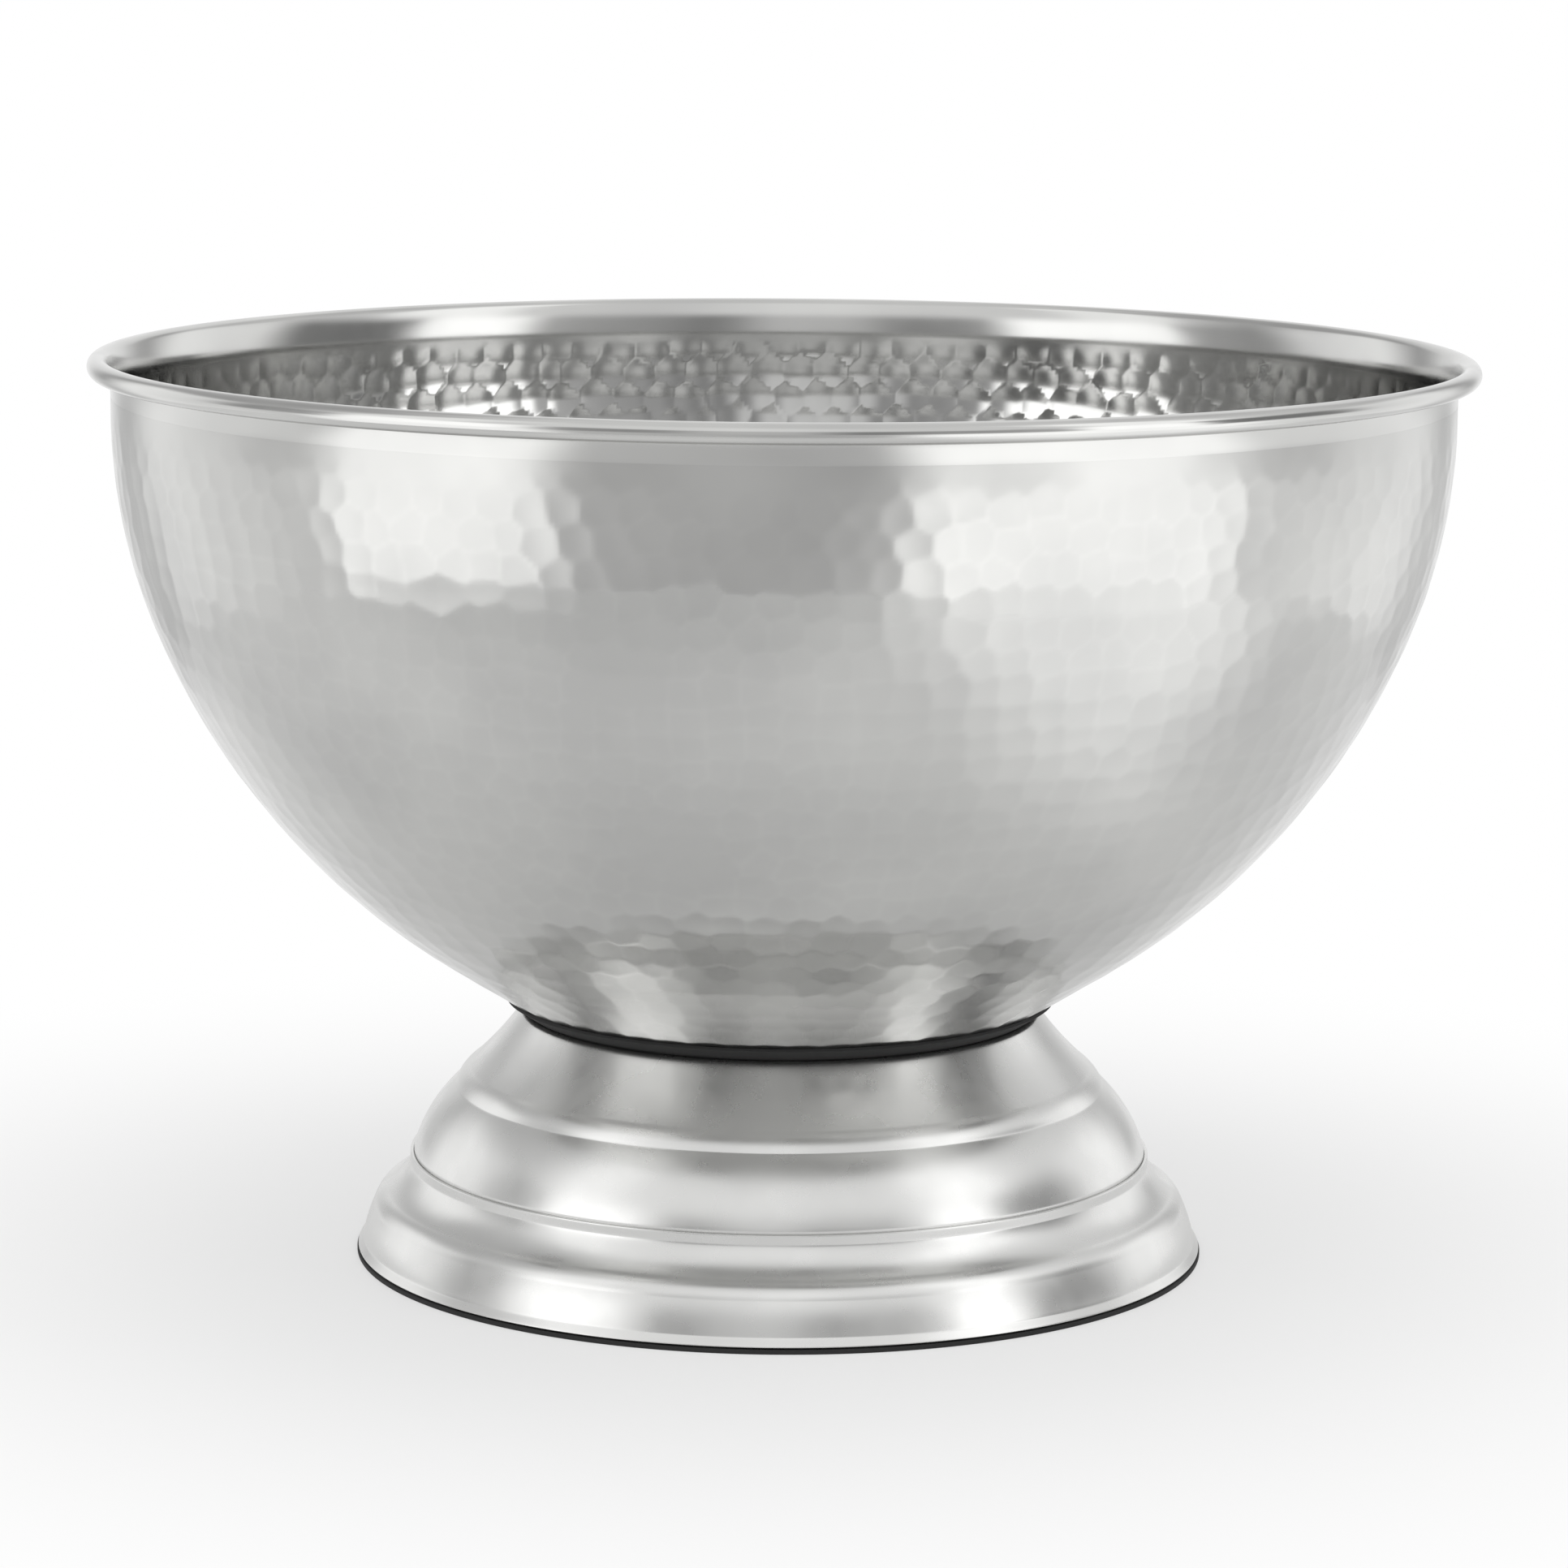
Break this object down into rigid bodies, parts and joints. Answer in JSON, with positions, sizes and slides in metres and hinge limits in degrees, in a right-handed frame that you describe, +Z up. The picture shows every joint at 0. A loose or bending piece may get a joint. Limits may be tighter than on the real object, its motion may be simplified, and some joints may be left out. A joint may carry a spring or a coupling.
{
  "type": "champagne bowl",
  "caption": "Wide hammered steel bowl with a rolled rim on a stepped round foot, for chilling bottles in ice.",
  "frame": {"origin": "centre of the foot's underside, on the surface that the bowl stands on", "axes": "+Z up along the bowl's own axis; +X along the wing nut's wings"},
  "size_m": [0.3799, 0.38, 0.251],
  "materials": {
    "polished_steel": "hammered and polished",
    "plain_steel": "mill",
    "plated_steel": "zinc plated",
    "black_rubber": "matt"
  },
  "bodies": {
    "root": {"bowl": "polished_steel", "rim_wire": "plain_steel", "seat_ring": "black_rubber", "foot_neck": "polished_steel", "foot_base": "polished_steel", "base_edge_ring": "black_rubber", "stud_plate": "plain_steel", "weld_stud": "plain_steel"},
    "clamp_stack": {"clamp_cup": "plain_steel", "flat_washer": "plated_steel", "spring_washer": "plated_steel"},
    "wing_nut": {"wing_nut": "plated_steel"}
  },
  "joints": [
    {"name": "clamp_drop", "type": "slide", "parent": "root", "child": "clamp_stack", "axis": [0, 0, -1], "range_m": [0, 0.01]},
    {"name": "wing_nut_turn", "type": "hinge", "parent": "clamp_stack", "child": "wing_nut", "pos_m": [0, 0, 0.0343], "axis": [0, 0, -1], "range_deg": [0, 2880]}
  ],
  "couplings": [
    {"joint": "wing_nut_turn", "follows": "clamp_drop", "rad_per_m": 5026.5}
  ]
}
